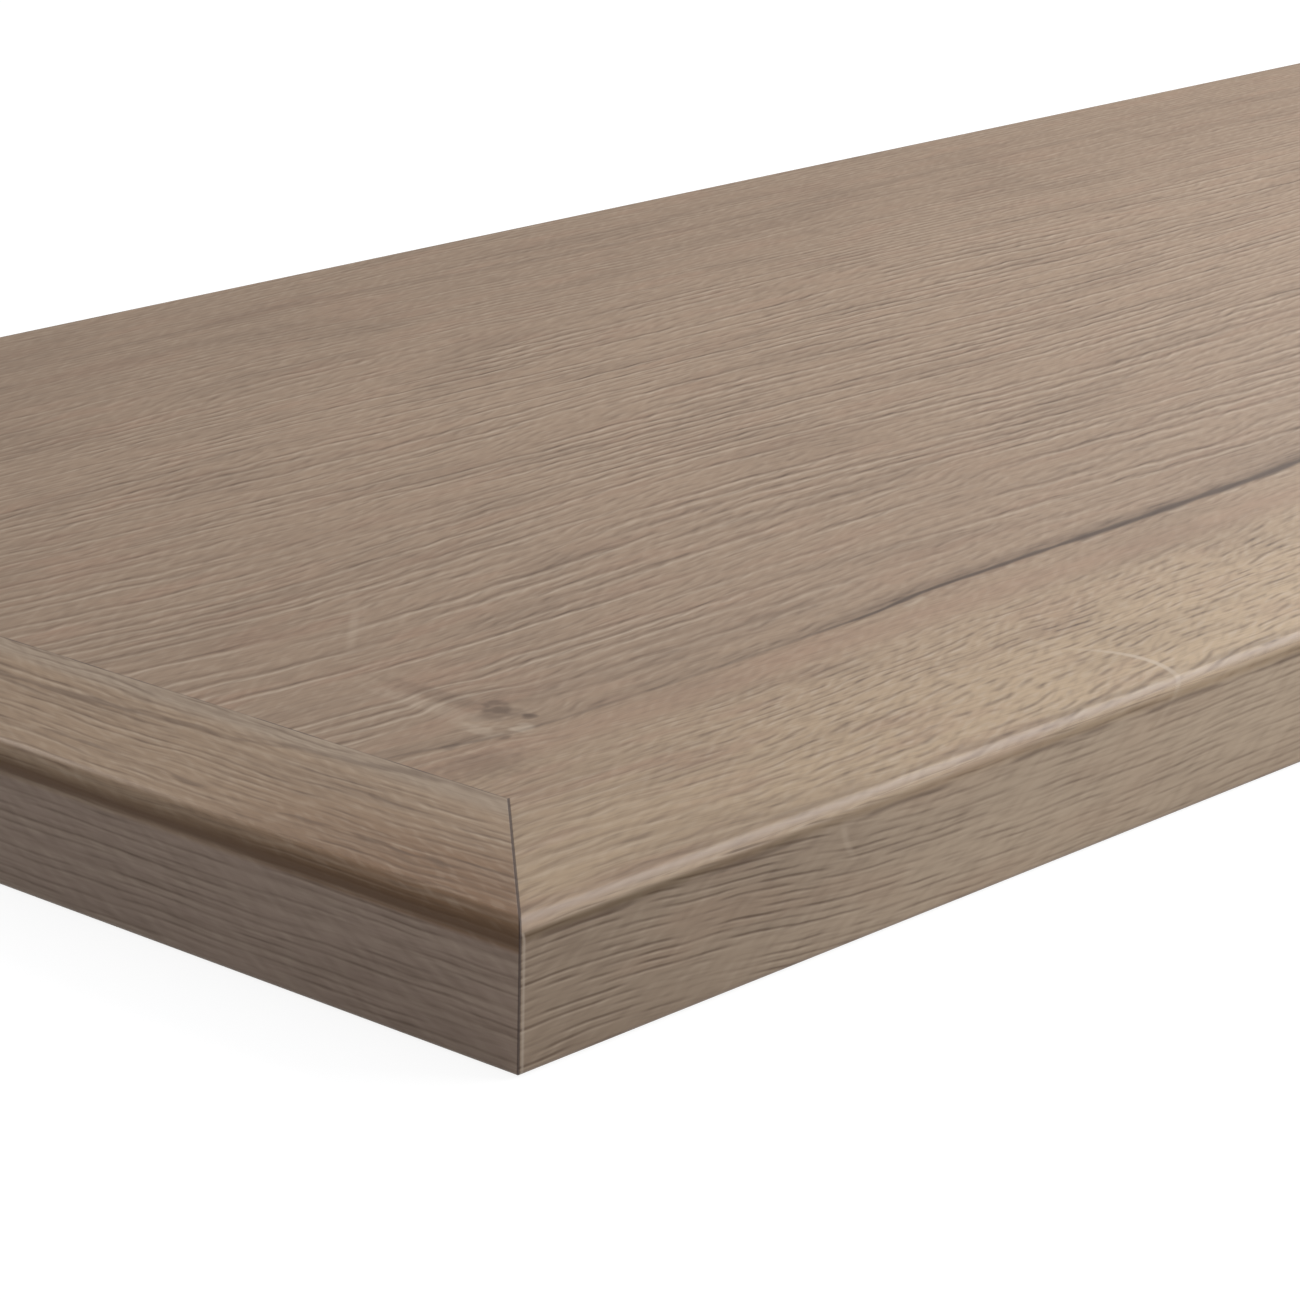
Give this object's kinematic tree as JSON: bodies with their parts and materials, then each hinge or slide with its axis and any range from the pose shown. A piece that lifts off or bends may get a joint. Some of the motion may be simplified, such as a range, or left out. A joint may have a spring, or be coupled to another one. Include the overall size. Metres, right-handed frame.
{
  "type": "stair tread",
  "caption": "Flat laminated stair tread with a rounded front edge and a mitred return that closes its open left end.",
  "frame": {"origin": "middle of the underside, on the level floor the tread lies on", "axes": "+X along the tread away from the return, -Y out of the rounded front edge, +Z out of the walking face"},
  "size_m": [1.3, 0.38, 0.028],
  "materials": {
    "board_laminate": "matt oak-pattern laminate, grain along the tread",
    "return_laminate": "matt oak-pattern laminate, grain across the tread"
  },
  "bodies": {
    "root": {"tread_board": "board_laminate", "end_return": "return_laminate"}
  },
  "joints": []
}
